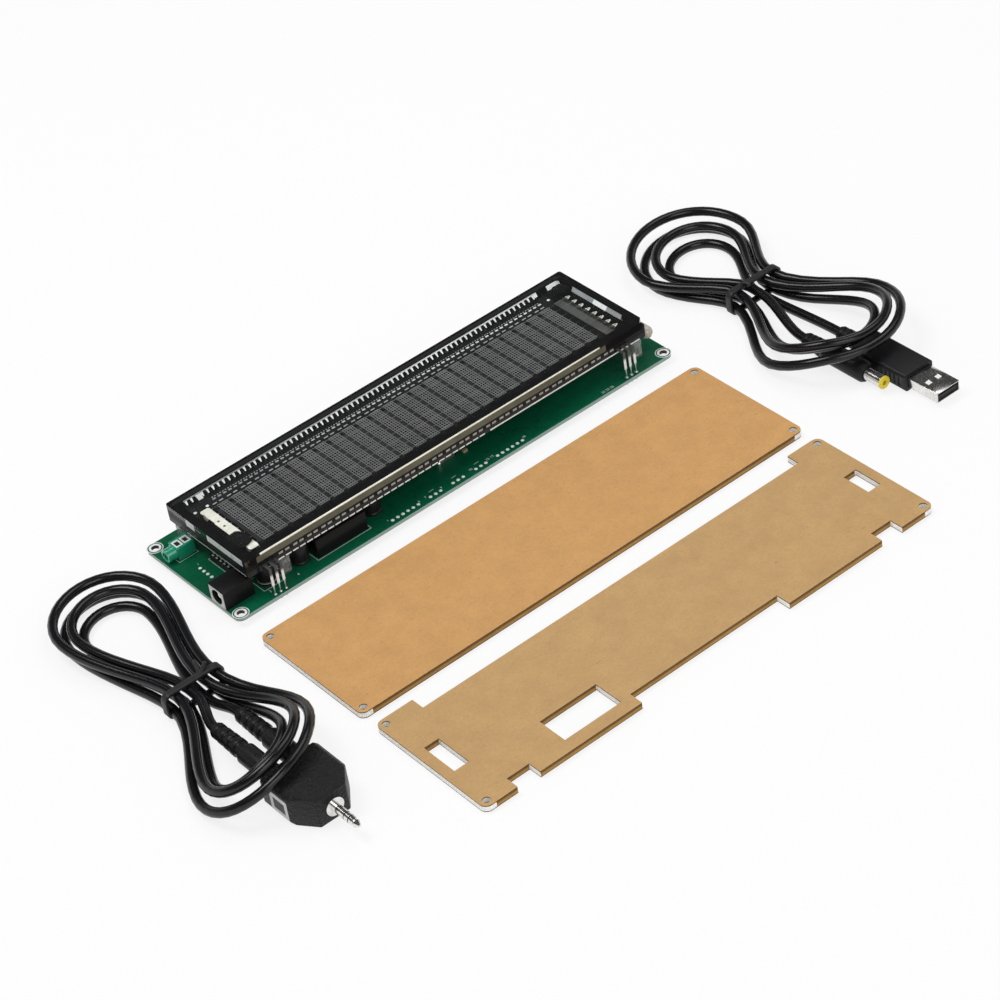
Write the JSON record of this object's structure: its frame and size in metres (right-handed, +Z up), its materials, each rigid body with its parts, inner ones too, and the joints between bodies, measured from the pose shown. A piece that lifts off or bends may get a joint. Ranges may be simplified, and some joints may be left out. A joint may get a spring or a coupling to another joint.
{
  "type": "audio spectrum display kit",
  "caption": "Vacuum fluorescent audio spectrum display on a long circuit board, with a plain and a cut-out panel in brown paper, a tied USB power lead and a tied audio lead with splitter.",
  "frame": {"origin": "centre of the board and panels' footprint on the table", "axes": "+X along the board, +Y towards the board's rear lead row, +Z up"},
  "size_m": [0.3681, 0.2186, 0.0216],
  "materials": {
    "solder_mask": "gloss",
    "solder": "satin",
    "tube_glass": "gloss",
    "cover_glass": "gloss",
    "tip_glass": "gloss",
    "anode": "matte",
    "tube_metal": "satin",
    "filament": "satin",
    "getter_metal": "satin",
    "getter_flash": "satin",
    "lead_metal": "satin",
    "clear_silicone": "satin",
    "green_plastic": "gloss",
    "jack_black": "satin",
    "plug_metal": "gloss",
    "contact_gold": "gloss",
    "potting_black": "matte",
    "cap_sleeve": "gloss",
    "chip_black": "matte",
    "ceramic_tan": "satin",
    "acrylic": "gloss",
    "kraft_paper": "matte",
    "pale_paper": "matte",
    "cable_black": "satin",
    "tie_black": "matte",
    "grip_black": "satin",
    "tongue_plastic": "satin",
    "insulator_yellow": "satin"
  },
  "bodies": {
    "root": {"circuit_board": "solder_mask", "pad_plating": "solder", "solder_joints": "solder", "tube_base_glass": "tube_glass", "tube_side_wall": "tube_glass", "tube_cover_glass": "cover_glass", "exhaust_tip": "tip_glass", "anode_layer": "anode", "control_grids": "tube_metal", "filament_wires": "filament", "filament_anchor_left": "tube_metal", "filament_anchor_right": "tube_metal", "getter_plate": "getter_metal", "getter_ring": "getter_flash", "rear_leads": "lead_metal", "front_leads": "lead_metal", "tube_support_pads": "clear_silicone", "audio_jack_body": "green_plastic", "audio_jack_contacts": "lead_metal", "dc_jack_body": "jack_black", "dc_jack_pin": "plug_metal", "dc_jack_contact": "contact_gold", "boost_module": "potting_black", "boost_module_pins": "lead_metal", "electrolytic_caps": "cap_sleeve", "driver_chips": "chip_black", "controller_chip": "chip_black", "chip_leads": "lead_metal", "input_header": "jack_black", "input_header_pins": "contact_gold", "chip_capacitors": "ceramic_tan", "chip_resistors": "chip_black", "crystal": "plug_metal", "plain_panel_sheet": "acrylic", "plain_panel_wrap": "kraft_paper", "cut_panel_sheet": "acrylic", "cut_panel_wrap": "pale_paper", "usb_lead": "cable_black", "usb_lead_tie": "tie_black", "usb_plug_grip": "grip_black", "usb_plug_shell": "plug_metal", "usb_plug_tongue": "tongue_plastic", "usb_plug_contacts": "contact_gold", "dc_plug_grip": "grip_black", "dc_plug_barrel": "plug_metal", "dc_plug_insulator": "insulator_yellow", "audio_lead": "cable_black", "audio_lead_tie": "tie_black", "audio_plug_grip_a": "grip_black", "audio_plug_grip_b": "grip_black", "audio_plug_pins": "plug_metal", "splitter_body": "grip_black", "splitter_plug_collar": "plug_metal", "splitter_plug_sleeve": "plug_metal", "splitter_plug_ring": "plug_metal", "splitter_plug_tip": "plug_metal", "splitter_plug_insulators": "tongue_plastic"}
  },
  "joints": []
}
